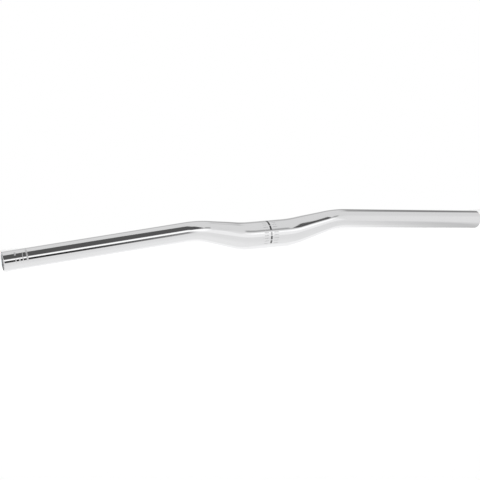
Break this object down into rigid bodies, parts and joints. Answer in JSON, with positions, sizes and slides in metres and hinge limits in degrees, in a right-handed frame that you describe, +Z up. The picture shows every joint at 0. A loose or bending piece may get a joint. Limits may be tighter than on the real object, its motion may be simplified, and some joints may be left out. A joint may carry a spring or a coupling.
{
  "type": "flat handlebar",
  "caption": "Bent aluminium bicycle handlebar: a tube thick at the stem clamp that tapers through a knee and a shoulder on each side to slim, swept-back, open grip ends.",
  "frame": {"origin": "middle of the stem clamp, on its axis", "axes": "+X along the clamp axis to the rider's left, +Y towards the side the grips sweep to, +Z up with the bar lying on its clamp and both ends. On the bicycle the bar is turned about +X by about 59 degrees, so that the grips sweep back and rise a little"},
  "size_m": [0.6234, 0.0541, 0.038],
  "materials": {
    "polished_aluminium": "polished, bare"
  },
  "bodies": {
    "root": {"handlebar": "polished_aluminium"}
  },
  "joints": []
}
